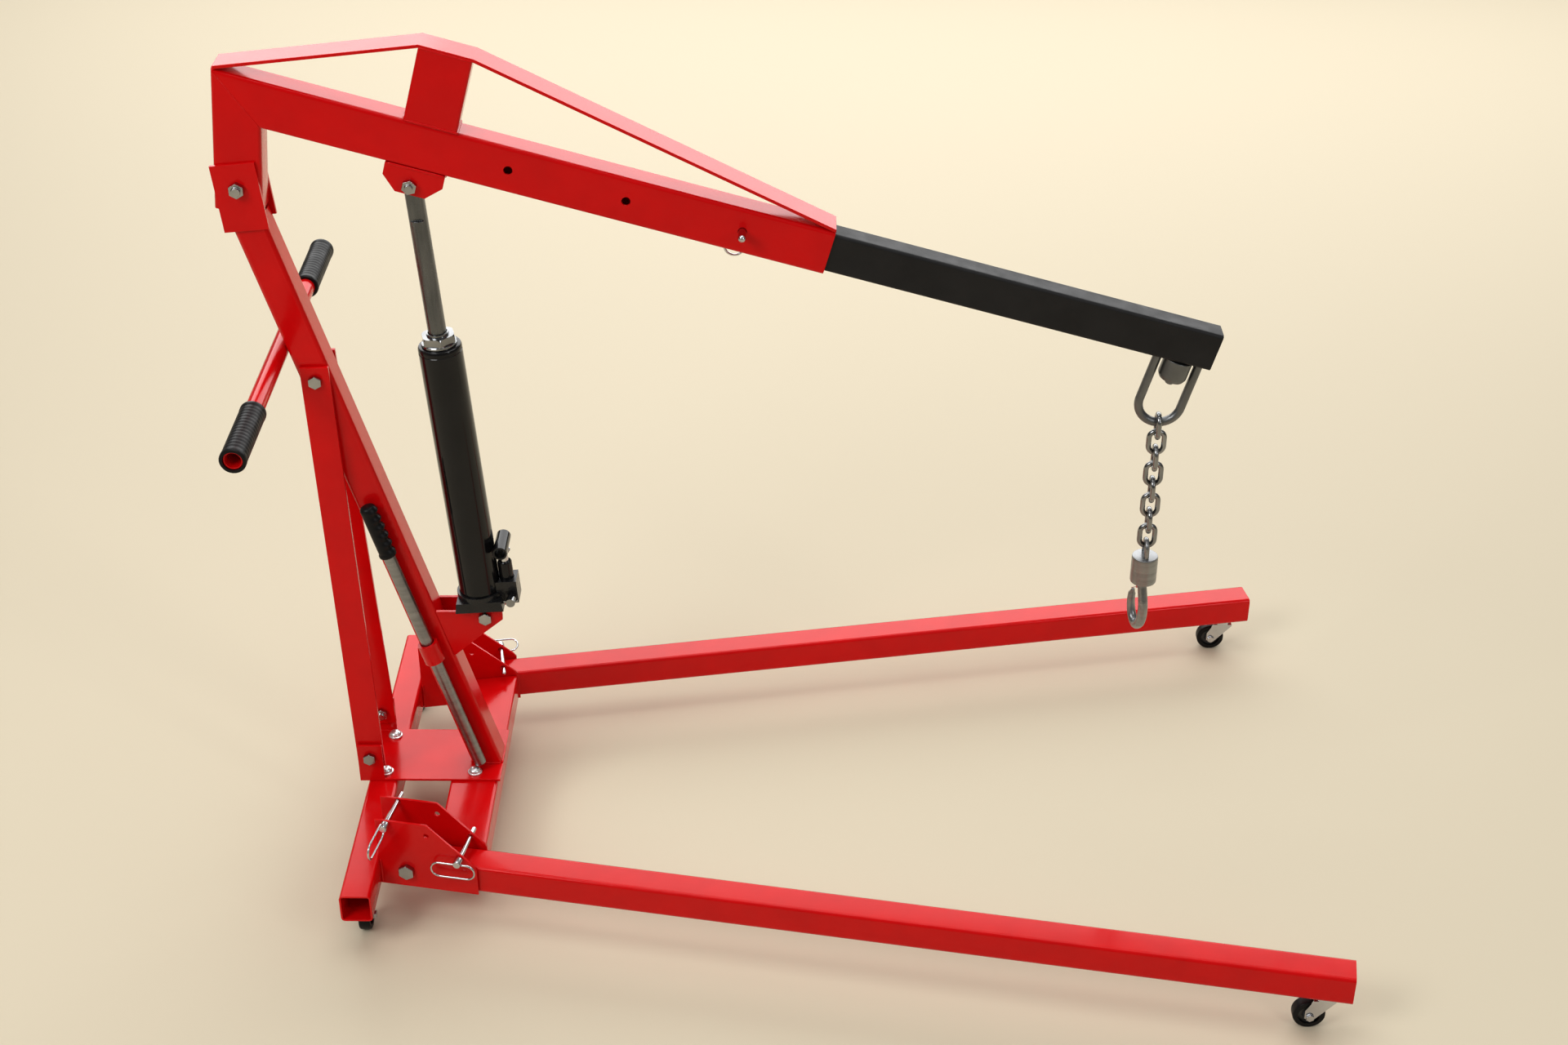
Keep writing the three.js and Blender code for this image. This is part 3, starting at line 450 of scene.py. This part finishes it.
TUBE_TOP = 168.5
TUBE_UNDERSIDE = 97.5
POST = (210, 288, 24.5)
weld([(POST[0], -POST[2], TUBE_TOP), (POST[1], -POST[2], TUBE_TOP),
      (POST[1], POST[2], TUBE_TOP), (POST[0], POST[2], TUBE_TOP),
      (POST[0], -POST[2], TUBE_TOP)], BOOM, "boom")
for sign in SIDES.values():
    weld([(200, sign * 24, TUBE_UNDERSIDE), (284, sign * 24, TUBE_UNDERSIDE)], BOOM, "boom")
    weld([(211, sign * 24, 278.5), (287, sign * 24, 278.5)], BOOM, "boom", 1.4)
weld([(849, -23, TUBE_TOP), (849, 23, TUBE_TOP)], BOOM, "boom", 1.8)
weld([(-60, -23, 169), (-60, 23, 169)], BOOM, "boom", 1.8)
for sign in SIDES.values():      # the elbow's mitre
    weld([(-60.2, sign * 24.5, 163.7), (14.6, sign * 24.5, 101.3)], BOOM, "boom", 0.7)

PLATE_TOP = 121
weld([(168, -26, PLATE_TOP), (168, 26, PLATE_TOP)], FLOOR, "base", 2.2)
for sign in SIDES.values():      # the mast's sides, and the brace lugs
    weld([(170, sign * 25.5, 121.2), (216, sign * 25.5, 121.2)], FLOOR, "base", 2.2)
    weld([(-12, sign * 63.5, PLATE_TOP), (27, sign * 63.5, PLATE_TOP)], FLOOR, "base", 1.8)
weld([(218.5, -24, PLATE_TOP), (218.5, 24, PLATE_TOP)], FLOOR, "base", 2.0)
for side, sign in SIDES.items():      # the leg bracket plates on the rear cross tube
    for y in (-30.9, 30.9):
        x = 1.5 + sign * y * 0.18
        weld([(x, y, 68), (x, y, 115)], leg_axes(side), "base", 1.8)

# Flange bolts that hold the base plate to the two cross tubes.
flange_bolt = lathe([(0, 10), (4, 9.8), (7.6, 8.4), (9.4, 6), (9.8, 3.6), (11.6, 3), (12, 1.4),
                     (11.8, 0.2), (0, 0.2)], 40)
for x in (28, 176):
    for side, sign in SIDES.items():
        place(f"base_bolt_{x}_{side}", flange_bolt, shifted(FLOOR, x, sign * 50, 120.3), CHROME,
              "base", bevel=0.3)


# ------------------------------------------------------------------ push bar and grips

bar_low, bar_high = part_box("push_bar")
PUSH = level(Vector(((bar_low.x + bar_high.x) / 2, 0, (bar_low.z + bar_high.z) / 2)))
BAR_END = 344
pipe = lathe([(14, -BAR_END), (14, BAR_END), (11.5, BAR_END), (11.5, -BAR_END)])
place("push_bar_fine", moved(pipe, ALONG_Y), PUSH, RED, "base", ("push_bar",), 0.5)

GRIP_RIBS = 14
GRIP_RIB_PITCH = 8.4
grip = [(14.4, 205), (18, 205), (19.5, 207), (19.5, 212), (18.6, 214)]
for rib in range(GRIP_RIBS):
    start = 218 + rib * GRIP_RIB_PITCH
    grip += [(18.6, start), (19.0, start + 1.2), (19.0, start + 4.6), (18.6, start + 5.8)]
grip += [(18.6, 337), (19.5, 339), (19.5, 345), (18.4, 347), (14.4, 347)]
for side, sign in SIDES.items():
    sleeve = lathe([(radius, height * sign) for radius, height in grip])
    place(f"push_grip_{side}_fine", moved(sleeve, ALONG_Y), PUSH, RUBBER, "base",
          (f"push_grip_{side}",), angle=50)


# ------------------------------------------------------------------ pump handle on the mast

HANDLE = shifted(MAST, -4, -40.5, 0)
stick = lathe([(9.4, 15), (10, 16), (10, 523), (7.5, 523), (7.5, 15)], 40)
place("pump_handle_fine", stick, HANDLE, BRIGHT, "handle", ("pump_handle",), 0.3)

FINGERS = 5
FINGERS_START = 448
FINGERS_LENGTH = 78
FINGER_ROWS = 60


def fingers(radius, angle, height):
    """Finger waves down one side of the grip."""
    if not FINGERS_START - 1 < height < FINGERS_START + FINGERS_LENGTH + 1:
        return radius
    wave = math.cos(2 * math.pi * FINGERS * (height - FINGERS_START) / FINGERS_LENGTH)
    return radius + 1.7 * wave * max(0, math.cos(angle)) ** 0.7 - 0.5


handle_grip = [(10.3, 441), (13.2, 441), (14.2, 443), (14.2, 446)]
for row in range(FINGER_ROWS + 1):
    handle_grip.append((13.4, FINGERS_START + FINGERS_LENGTH * row / FINGER_ROWS))
handle_grip += [(13, 530), (11, 533.6), (8, 535), (0, 535), (0, 525), (10.3, 525)]
place("pump_handle_grip_fine", lathe(handle_grip, 36, fingers), HANDLE, RUBBER, "handle",
      ("pump_handle_grip",), angle=60)


# ------------------------------------------------------------------ ram and pump

CASTING_BOTTOM = 19 - RAM_LENGTH
CYLINDER_TOP = -268
CYLINDER = 33.5
BORE = 26
cylinder = [(CYLINDER, CASTING_BOTTOM + 8), (CYLINDER, CYLINDER_TOP - 11),
            (32.7, CYLINDER_TOP - 10), (32.7, CYLINDER_TOP - 8.6),
            (CYLINDER, CYLINDER_TOP - 7.6), (CYLINDER, CYLINDER_TOP - 3.6),
            (32.4, CYLINDER_TOP - 1), (30, CYLINDER_TOP), (BORE, CYLINDER_TOP),
            (BORE, CASTING_BOTTOM + 8)]
place("ram_cylinder_fine", lathe(cylinder, 72), RAM, BLACK, "ram_body", ("ram_cylinder",),
      angle=30)

SIXTH = math.radians(60)
GLAND_HALF_FLATS = 23.6
GLAND_COLLAR_TOP = -263


def hexagon(radius, angle, height):
    """The gland's outline: round up to its collar's top, and a hexagon above it."""
    if height <= GLAND_COLLAR_TOP:
        return radius
    flat = GLAND_HALF_FLATS / math.cos((angle + SIXTH / 4) % SIXTH - SIXTH / 2)
    return min(radius, flat)


gland = lathe([(25, -267.7), (27.4, -267.2), (27.4, -264.4), (26.6, -263.4), (27.4, -262.9),
               (27.4, -253.5), (25.4, -251), (17.4, -250.8), (17, -247.6), (14.9, -247),
               (14.7, -249), (14.7, -267.7)], 96, hexagon)
place("gland_nut_fine", gland, RAM, DULL, "ram_body", ("gland_nut",), angle=25)
refine("ram_rod", STEEL, 0.8, 40)
refine("ram_base", CAST, 3.0, 40)

PUMP_X = 45.5
barrel = lathe([(11.6, CASTING_BOTTOM + 20.5), (11.6, CASTING_BOTTOM + 70),
                (10.6, CASTING_BOTTOM + 72), (7.6, CASTING_BOTTOM + 72),
                (7.6, CASTING_BOTTOM + 28), (0, CASTING_BOTTOM + 28),
                (0, CASTING_BOTTOM + 20.5)], 40)
place("pump_barrel_fine", barrel, shifted(RAM, PUMP_X, 0, 0), BLACK, "ram_body",
      ("pump_barrel",), angle=30)
refine("pump_plunger", ZINC, 0.4, 30)
refine("pump_socket", BLACK, 0.6, 40)
refine("release_valve", DULL, 0.8, 35)

SOCKET_Z = CASTING_BOTTOM + 102
fulcrum_pin = lathe([(0, 28), (5.4, 28), (5.4, 38), (3, 38.2), (3, 53), (2.4, 54.5), (0, 54.5)],
                    28)
fulcrum_clip = lathe([(3.1, 51), (5.6, 51), (5.6, 52.6), (3.1, 52.6)], 24)
place("pump_fulcrum", moved(joined(fulcrum_pin, fulcrum_clip), ALONG_X),
      shifted(RAM, 0, 16, SOCKET_Z - 19), ZINC, "ram_body", bevel=0.3)


# ------------------------------------------------------------------ shackle, hub, chain, hook

SHACKLE_BAR = 6.9
ARM_X = 33                 # the arms from the middle
ARM_TOP = -8.5
BEND_Z = -111.6
bow = [(-ARM_X, 0, ARM_TOP)] + [(-ARM_X, 0, -30 - 10 * i) for i in range(9)]
for i in range(29):
    angle = math.pi + math.pi * i / 28
    bow.append((ARM_X * math.cos(angle), 0, BEND_Z + ARM_X * math.sin(angle)))
bow += [(ARM_X, 0, -110 + 10 * i) for i in range(1, 9)] + [(ARM_X, 0, ARM_TOP)]
place("shackle_fine", wire(bow, SHACKLE_BAR, 24), SHACKLE, FORGED, "extension", ("shackle",),
      angle=60)
hub = lathe([(0, -30.8), (20, -30.8), (22.4, -31.8), (22.4, -59.6), (21.8, -61.4), (19.2, -66),
             (18, -67), (7.4, -67), (7, -67.8), (7, -73), (5.8, -75), (0, -75)], 56)
place("shackle_hub_fine", hub, SHACKLE, FORGED, "extension", ("shackle_hub",), 0.5, 35)

LINKS = 8
LINK_BAR = 4.2
LINK_BEND = 11.75
LINK_STRAIGHT = 14.4
link_ring = stadium(LINK_BEND, LINK_STRAIGHT)
for number in range(1, LINKS + 1):
    low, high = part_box(f"chain_link_{number}")
    turn = QUARTER["Z"] @ QUARTER["X"] if number % 2 else QUARTER["X"]
    place(f"chain_link_{number}_fine", wire(turned(link_ring, turn), LINK_BAR, 18, True),
          level((low + high) / 2), DULL, f"link_{number}", (f"chain_link_{number}",), angle=60)

low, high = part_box("swivel")
SWIVEL = level(Vector((joint_at("hook_turn").x, 0, low.z)))
EYE_Z = 68
swivel_body = lathe([(0, 16), (7.8, 16), (7.8, 0.4), (8.6, 0), (13, 0), (14.2, 0.5), (20.2, 4.4),
                     (21, 6), (21, 49.4), (20.2, 51.2), (18.8, 52), (0, 52)], 64)
eye = [(0, -LINK_BEND, EYE_Z - 21)]
for i in range(25):
    angle = math.pi * i / 24
    eye.append((0, -LINK_BEND * math.cos(angle), EYE_Z + LINK_BEND * math.sin(angle)))
eye.append((0, LINK_BEND, EYE_Z - 21))
place("swivel_fine", joined(swivel_body, wire(eye, LINK_BAR, 18)), SWIVEL, BRIGHT, "swivel",
      ("swivel",), angle=35)

HOOK_TURN = math.radians(-73)
HOOK = SWIVEL @ Matrix.Rotation(HOOK_TURN, 4, "Z")
HOOK_LINE = [(0, 12), (0, 4), (0, -6), (4, -20), (9, -38), (9, -56), (3, -75), (-11, -87),
             (-26, -80), (-34, -61), (-34, -43), (-30, -31)]
SHANK_END = 0.12            # shares of the hook's length
TIP_START = 0.93


def hook_radius(share):
    if share < SHANK_END:
        return 7.0
    if share > TIP_START:
        return 5.0 - 40 * (share - TIP_START)
    swell = 0.8 * math.sin((share - SHANK_END) / (TIP_START - SHANK_END) * math.pi)
    return 7.2 + swell - 3.2 * max(0, share - 0.55)


hook_path = [(x, 0, z) for x, z in spline(HOOK_LINE)]
place("hook_fine", wire(hook_path, hook_radius, 20), HOOK, BRIGHT, "hook", ("hook",), angle=60)
latch = joined(block(-0.8, 0.8, -5, 5, 0, 31), block(-2.4, 2.4, -7.9, 7.9, -3, 3))
latch_turn = Matrix.Translation((-4, 0, -9)) @ Matrix.Rotation(math.radians(234), 4, "Y")
place("hook_latch", moved(latch, latch_turn), HOOK, ZINC, "hook", bevel=0.4)


# ------------------------------------------------------------------ lock pins

def lock_pin(node, base, body, sign, ring):
    """A pin with a domed tip towards the crane's middle, a flanged head and a wire ring."""
    rows = [(0, 50), (2.2, 49.6), (4, 47), (4, -33), (7, -33), (7, -43), (5.6, -46), (0, -46)]
    shank = moved(lathe([(radius, -height * sign) for radius, height in rows], 32), ALONG_Y)
    place(node + "_fine", joined(shank, wire(ring, 1.7, 12, True)), base, ZINC, body, (node,),
          0.35, 35)


# On the right the rings hang upright from the pins; on the left they lie over.
SMALL_RING = stadium(13.5, 44)
NARROW_RING = stadium(12, 47)
RINGS = {
    ("front", "right"): (SMALL_RING, Matrix.Translation((-9, -40, -17)) @ ALONG_Y
                         @ QUARTER["Z"]),
    ("front", "left"): (NARROW_RING, Matrix.Translation((-4.5, 45, -4))
                        @ Matrix.Rotation(math.radians(25), 4, "X") @ QUARTER["Z"]),
    ("rear", "right"): (SMALL_RING, Matrix.Translation((0, -75.5, 0)) @ QUARTER["Y"]),
    ("rear", "left"): (SMALL_RING, Matrix.Translation((2.5, 47, -4))
                       @ Matrix.Rotation(0.3, 4, "X") @ QUARTER["Z"]),
}
PIN_PLACES = {"front": (139, 134.5), "rear": (22.5, 189)}      # along a leg, and height
for side, sign in SIDES.items():
    for end, (along, height) in PIN_PLACES.items():
        lock_pin(f"{end}_lock_pin_{side}", shifted(leg_axes(side), along, 0, height),
                 f"{end}_pin_{side}", sign, turned(*RINGS[end, side]))

boom_pin = lathe([(0, -53), (2.6, -52.6), (4.6, -51.2), (6, -48.6), (6, 27), (9, 27), (9, 37),
                  (7.4, 40), (0, 40)], 40)
boom_ring = turned(stadium(15, 42), Matrix.Translation((0, 34, -30)) @ QUARTER["X"])
place("boom_lock_pin_fine", joined(moved(boom_pin, ALONG_Y), wire(boom_ring, 1.9, 12, True)),
      EXTENSION, ZINC, "boom_pin", ("boom_lock_pin",), 0.35, 35)


# ------------------------------------------------------------------ casters

tread = lathe([(17, -9.2), (23, -9.2), (24.4, -8.2), (25, -6), (25, 6), (24.4, 8.2), (23, 9.2),
               (17, 9.2)], 64)
core = lathe([(4.6, -9), (8.5, -9), (9.5, -7), (10.5, -4.5), (17.2, -4.5), (17.2, 4.5),
              (10.5, 4.5), (9.5, 7), (8.5, 9), (4.6, 9)])
for side in SIDES:
    for end in ("front", "rear"):
        refine(f"caster_fork_{end}_{side}", ZINC, 0.8, 35)
        roll = f"{end}_roll_{side}"
        wheel = level(joint_at(roll), joint_axis(roll))
        place(f"caster_wheel_{end}_{side}_fine", moved(tread, ALONG_Y), wheel, RUBBER,
              f"{end}_wheel_{side}", (f"caster_wheel_{end}_{side}",), angle=50)
        place(f"caster_core_{end}_{side}", moved(core, ALONG_Y), wheel, HUB,
              f"{end}_wheel_{side}", bevel=0.4, angle=35)


# ------------------------------------------------------------------ floor, light, camera

FLOOR_HALF = 30
floor_mesh = bpy.data.meshes.new("floor")
floor_mesh.from_pydata([(-FLOOR_HALF, -FLOOR_HALF, 0), (FLOOR_HALF, -FLOOR_HALF, 0),
                        (FLOOR_HALF, FLOOR_HALF, 0), (-FLOOR_HALF, FLOOR_HALF, 0)],
                       [], [[0, 1, 2, 3]])
floor = bpy.data.objects.new("floor", floor_mesh)
bpy.context.scene.collection.objects.link(floor)
floor_mat = bpy.data.materials.new("floor")
floor_mat.use_nodes = True
floor_shader = floor_mat.node_tree.nodes["Principled BSDF"]
floor_shader.inputs["Base Color"].default_value = (0.66, 0.58, 0.43, 1)
floor_shader.inputs["Roughness"].default_value = 0.75
floor_mesh.materials.append(floor_mat)


def softbox(name, position, target, width, depth, power):
    light = bpy.data.lights.new(name, "AREA")
    light.shape = "RECTANGLE"
    light.size = width
    light.size_y = depth
    light.energy = power
    obj = bpy.data.objects.new(name, light)
    obj.location = position
    aim = Vector(target) - Vector(position)
    obj.rotation_euler = aim.to_track_quat("-Z", "Y").to_euler()
    bpy.context.scene.collection.objects.link(obj)


softbox("back", (0.4, 4.6, 2.6), (0, 0.2, 0.3), 7.5, 3.0, 215)
softbox("overhead", (-0.4, 0.6, 4.4), (0, 0, 0.4), 3.2, 3.2, 78)
softbox("key", (-2.8, -2.6, 3.6), (0, 0, 0.5), 1.8, 1.8, 84)
softbox("strip", (2.6, -2.6, 2.6), (0, 0, 0.6), 0.5, 2.4, 22)

# A warm studio world, dim below the horizon and brighter overhead.
world = bpy.data.worlds.new("studio")
world.use_nodes = True
sky, wires = world.node_tree.nodes, world.node_tree.links
height = sky.new("ShaderNodeSeparateXYZ")
wires.new(sky.new("ShaderNodeTexCoord").outputs["Generated"], height.inputs["Vector"])
fade = sky.new("ShaderNodeMapRange")
for socket, value in zip(("From Min", "From Max", "To Min", "To Max"), (-0.1, 0.9, 0.06, 0.42)):
    fade.inputs[socket].default_value = value
wires.new(height.outputs["Z"], fade.inputs["Value"])
sky["Background"].inputs["Color"].default_value = (0.98, 0.95, 0.90, 1)
wires.new(fade.outputs["Result"], sky["Background"].inputs["Strength"])
bpy.context.scene.world = world

camera = bpy.data.objects.new("camera", bpy.data.cameras.new("camera"))
camera.data.lens = 52.85
camera.data.sensor_width = 36
camera.location = (0.0061, -3.0975, 2.4969)
camera.rotation_euler = (math.radians(58.285), 0, math.radians(0.477))
bpy.context.scene.collection.objects.link(camera)
bpy.context.scene.camera = camera
bpy.context.scene.view_settings.view_transform = "Standard"

bpy.context.view_layer.update()
